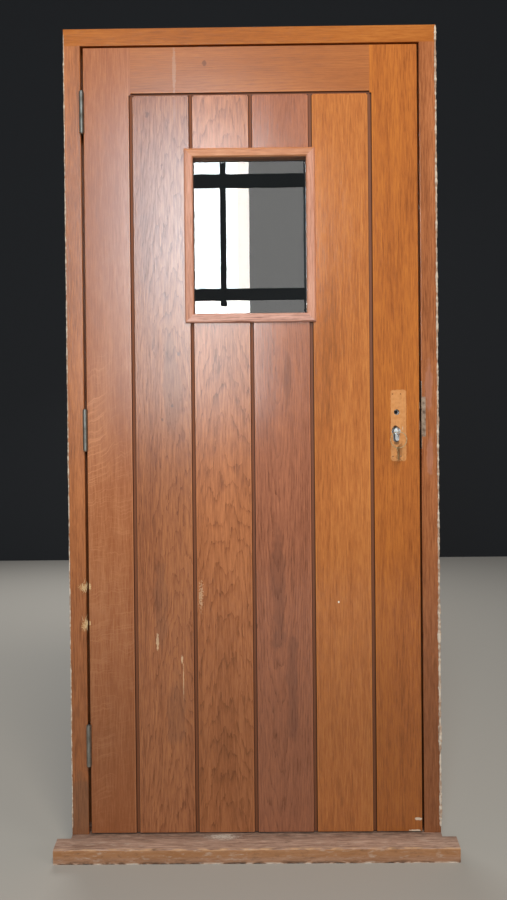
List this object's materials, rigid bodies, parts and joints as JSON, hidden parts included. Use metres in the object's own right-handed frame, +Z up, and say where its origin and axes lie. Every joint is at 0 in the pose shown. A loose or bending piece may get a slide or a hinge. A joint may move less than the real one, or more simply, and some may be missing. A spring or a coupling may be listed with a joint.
{
  "type": "boarded door with frame",
  "caption": "Boarded oak door with a small glazed window, mortice lock with profile cylinder and key, hung on butt hinges in a rebated frame with a horned sill.",
  "frame": {"origin": "on the ground under the middle of the sill", "axes": "+Z up along the jambs, -Y towards the front with the hinge knuckles and the sill nose, hinges on the -X side"},
  "size_m": [1.004, 0.16, 2.079],
  "materials": {
    "frame_oak": "stained oak, semi-gloss",
    "sill_oak": "weathered stained oak, dull",
    "stile_oak": "stained oak, semi-gloss",
    "board_oak": "stained oak, semi-gloss",
    "ledge_oak": "stained oak, semi-gloss",
    "lining_oak": "stained oak, satin",
    "bead_oak": "open-pored reddish stained oak, satin",
    "glass": "clear polished",
    "hinge_steel": "dull steel",
    "screw_steel": "zinc plated",
    "keep_steel": "dull grey-green steel",
    "lock_steel": "pressed steel",
    "bolt_brass": "machined brass",
    "cylinder_nickel": "bright nickel plate",
    "key_nickel": "nickel plate, worn",
    "spare_brass": "tarnished brass"
  },
  "bodies": {
    "frame": {"head": "frame_oak", "hinge_jamb": "frame_oak", "lock_jamb": "frame_oak", "sill": "sill_oak", "jamb_flap_top": "hinge_steel", "jamb_flap_middle": "hinge_steel", "jamb_flap_bottom": "hinge_steel", "hinge_pin_top": "hinge_steel", "hinge_pin_middle": "hinge_steel", "hinge_pin_bottom": "hinge_steel", "jamb_flap_screws": "screw_steel", "keep": "keep_steel", "keep_screws": "screw_steel"},
    "leaf": {"back_bead_foot": "bead_oak", "back_bead_head": "bead_oak", "back_bead_left": "bead_oak", "back_bead_right": "bead_oak", "board_1": "board_oak", "board_2_lower": "board_oak", "board_2_upper": "board_oak", "board_3_lower": "board_oak", "board_3_upper": "board_oak", "board_4": "board_oak", "bottom_ledge": "ledge_oak", "brace": "ledge_oak", "cylinder_body": "cylinder_nickel", "cylinder_screw": "screw_steel", "door_flap_bottom": "hinge_steel", "door_flap_middle": "hinge_steel", "door_flap_screws": "screw_steel", "door_flap_top": "hinge_steel", "forend": "lock_steel", "forend_screws": "screw_steel", "front_bead_foot": "bead_oak", "front_bead_head": "bead_oak", "front_bead_left": "bead_oak", "front_bead_right": "bead_oak", "glass": "glass", "hinge_stile": "stile_oak", "lining_foot": "lining_oak", "lining_head": "lining_oak", "lining_left": "lining_oak", "lining_right": "lining_oak", "lock_case": "lock_steel", "lock_cover": "lock_steel", "lock_stile": "stile_oak", "middle_ledge": "ledge_oak", "plug_rear": "cylinder_nickel", "top_rail": "stile_oak"},
    "follower": {"follower": "lock_steel"},
    "latch_bolt": {"latch_bolt": "bolt_brass"},
    "dead_bolt": {"dead_bolt": "bolt_brass"},
    "key_set": {"plug": "cylinder_nickel", "cam": "cylinder_nickel", "key": "key_nickel", "key_ring": "key_nickel", "spare_key": "spare_brass"}
  },
  "joints": [
    {"name": "leaf_swing", "type": "hinge", "parent": "frame", "child": "leaf", "pos_m": [-0.4215, -0.0192, 1], "axis": [0, 0, -1], "range_deg": [0, 175]},
    {"name": "follower_turn", "type": "hinge", "parent": "leaf", "child": "follower", "pos_m": [0.363, 0.008, 1.11], "axis": [0, 1, 0], "range_deg": [0, 40]},
    {"name": "latch_throw", "type": "slide", "parent": "leaf", "child": "latch_bolt", "axis": [1, 0, 0], "range_m": [0, 0.011]},
    {"name": "key_turn", "type": "hinge", "parent": "leaf", "child": "key_set", "pos_m": [0.363, 0.008, 1.062], "axis": [0, 1, 0], "range_deg": [0, 360]},
    {"name": "dead_bolt_throw", "type": "slide", "parent": "leaf", "child": "dead_bolt", "axis": [1, 0, 0], "range_m": [0, 0.018]}
  ],
  "couplings": [
    {"joint": "follower_turn", "follows": "latch_throw", "rad_per_m": 63.46},
    {"joint": "dead_bolt_throw", "follows": "key_turn", "m_per_rad": 0.0028647}
  ]
}
